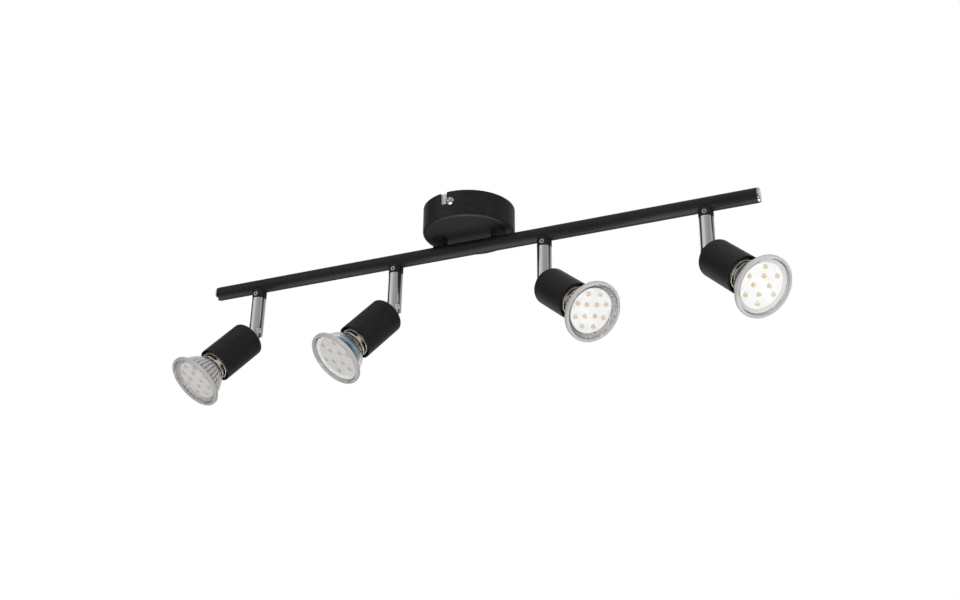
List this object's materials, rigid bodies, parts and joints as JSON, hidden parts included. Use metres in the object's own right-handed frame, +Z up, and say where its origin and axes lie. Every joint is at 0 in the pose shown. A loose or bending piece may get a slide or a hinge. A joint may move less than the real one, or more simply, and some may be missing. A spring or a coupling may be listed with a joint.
{
  "type": "ceiling spot bar",
  "caption": "Ceiling spot bar: round canopy on a bracket, straight tube, and lamp sleeves on short arms that swivel and tilt, each with a twist-lock reflector lamp.",
  "frame": {"origin": "middle of the ceiling bracket's top face, on the ceiling plane; the object hangs below it", "axes": "+X along the bar towards the right-hand end, +Y towards the back, away from the side the lamps face, +Z up to the ceiling"},
  "size_m": [0.5381, 0.1071, 0.1558],
  "materials": {
    "black_paint": "fine matte black powder coat on steel tube and pressings",
    "bright_nickel": "bright turned and plated steel, lightly brushed along its length",
    "screw_nickel": "bright nickel-plated small screws and pins",
    "zinc_plate": "pale zinc-plated pressed steel",
    "ceramic": "unglazed steatite ceramic",
    "clip_steel": "thin sprung plated steel strip",
    "clear_glass": "clear pressed glass with fine ribs",
    "cover_glass": "clear flat cover glass",
    "white_board": "white solder-mask board",
    "chip_yellow": "warm phosphor under clear resin"
  },
  "bodies": {
    "fixture": {"ceiling_bracket": "zinc_plate", "side_screws": "screw_nickel", "canopy": "black_paint", "standoffs": "black_paint", "standoff_nipples": "screw_nickel", "nipple_nuts": "zinc_plate", "terminal_block": "ceramic", "bar": "black_paint", "end_cap_left": "bright_nickel", "end_cap_right": "bright_nickel", "saddle_1": "black_paint", "saddle_2": "black_paint", "saddle_3": "black_paint", "saddle_4": "black_paint", "grub_screws": "screw_nickel", "swivel_nipples": "screw_nickel"},
    "arm_1_body": {"arm_1": "bright_nickel", "tilt_screw_1": "screw_nickel"},
    "head_1": {"sleeve_1": "black_paint", "lampholder_1": "ceramic", "lamp_clip_1": "clip_steel"},
    "lamp_1": {"lamp_glass_1": "clear_glass", "lamp_base_1": "ceramic", "lamp_pins_1": "screw_nickel", "led_board_1": "white_board", "led_chips_1": "chip_yellow", "lamp_cover_1": "cover_glass"},
    "arm_2_body": {"arm_2": "bright_nickel", "tilt_screw_2": "screw_nickel"},
    "head_2": {"sleeve_2": "black_paint", "lampholder_2": "ceramic", "lamp_clip_2": "clip_steel"},
    "lamp_2": {"lamp_glass_2": "clear_glass", "lamp_base_2": "ceramic", "lamp_pins_2": "screw_nickel", "led_board_2": "white_board", "led_chips_2": "chip_yellow", "lamp_cover_2": "cover_glass"},
    "arm_3_body": {"arm_3": "bright_nickel", "tilt_screw_3": "screw_nickel"},
    "head_3": {"sleeve_3": "black_paint", "lampholder_3": "ceramic", "lamp_clip_3": "clip_steel"},
    "lamp_3": {"lamp_glass_3": "clear_glass", "lamp_base_3": "ceramic", "lamp_pins_3": "screw_nickel", "led_board_3": "white_board", "led_chips_3": "chip_yellow", "lamp_cover_3": "cover_glass"},
    "arm_4_body": {"arm_4": "bright_nickel", "tilt_screw_4": "screw_nickel"},
    "head_4": {"sleeve_4": "black_paint", "lampholder_4": "ceramic", "lamp_clip_4": "clip_steel"},
    "lamp_4": {"lamp_glass_4": "clear_glass", "lamp_base_4": "ceramic", "lamp_pins_4": "screw_nickel", "led_board_4": "white_board", "led_chips_4": "chip_yellow", "lamp_cover_4": "cover_glass"}
  },
  "joints": [
    {"name": "swivel_1", "type": "hinge", "parent": "fixture", "child": "arm_1_body", "pos_m": [-0.21, -0.00023, -0.049], "axis": [0, 0.0175, 0.9998], "range_deg": [-129.4, 196]},
    {"name": "tilt_1", "type": "hinge", "parent": "arm_1_body", "child": "head_1", "pos_m": [-0.21, -0.00079, -0.08149], "axis": [0.8358, -0.5489, 0.0096], "range_deg": [-53.9, 136.1]},
    {"name": "lamp_lock_1", "type": "hinge", "parent": "head_1", "child": "lamp_1", "pos_m": [-0.22805, -0.02892, -0.11869], "axis": [-0.3609, -0.5625, -0.7439], "range_deg": [0, 40]},
    {"name": "swivel_2", "type": "hinge", "parent": "fixture", "child": "arm_2_body", "pos_m": [-0.07, -0.00034, -0.049], "axis": [0, 0.0262, 0.9997], "range_deg": [-126.6, 198.8]},
    {"name": "tilt_2", "type": "hinge", "parent": "arm_2_body", "child": "head_2", "pos_m": [-0.07, -0.00119, -0.08148], "axis": [0.808, -0.589, 0.0154], "range_deg": [-53.6, 136.4]},
    {"name": "lamp_lock_2", "type": "hinge", "parent": "head_2", "child": "lamp_2", "pos_m": [-0.08948, -0.02888, -0.11828], "axis": [-0.3896, -0.5538, -0.7359], "range_deg": [0, 40]},
    {"name": "swivel_3", "type": "hinge", "parent": "fixture", "child": "arm_3_body", "pos_m": [0.07, -0.00057, -0.04899], "axis": [0, 0.0436, 0.999], "range_deg": [-223.3, 102.1]},
    {"name": "tilt_3", "type": "hinge", "parent": "arm_3_body", "child": "head_3", "pos_m": [0.07, -0.00198, -0.08146], "axis": [0.4909, 0.8704, -0.038], "range_deg": [-44, 146]},
    {"name": "lamp_lock_3", "type": "hinge", "parent": "head_3", "child": "lamp_3", "pos_m": [0.10385, -0.02241, -0.11206], "axis": [0.6771, -0.4086, -0.6121], "range_deg": [0, 40]},
    {"name": "swivel_4", "type": "hinge", "parent": "fixture", "child": "arm_4_body", "pos_m": [0.21, -0.00091, -0.04897], "axis": [0, 0.0698, 0.9976], "range_deg": [-78.7, 204.7]},
    {"name": "tilt_4", "type": "hinge", "parent": "arm_4_body", "child": "head_4", "pos_m": [0.21, -0.00317, -0.08139], "axis": [0.5446, 0.8366, -0.0585], "range_deg": [-48.5, 141.5]},
    {"name": "lamp_lock_4", "type": "hinge", "parent": "head_4", "child": "lamp_4", "pos_m": [0.24042, -0.02528, -0.11435], "axis": [0.6084, -0.4421, -0.6591], "range_deg": [0, 40]}
  ]
}
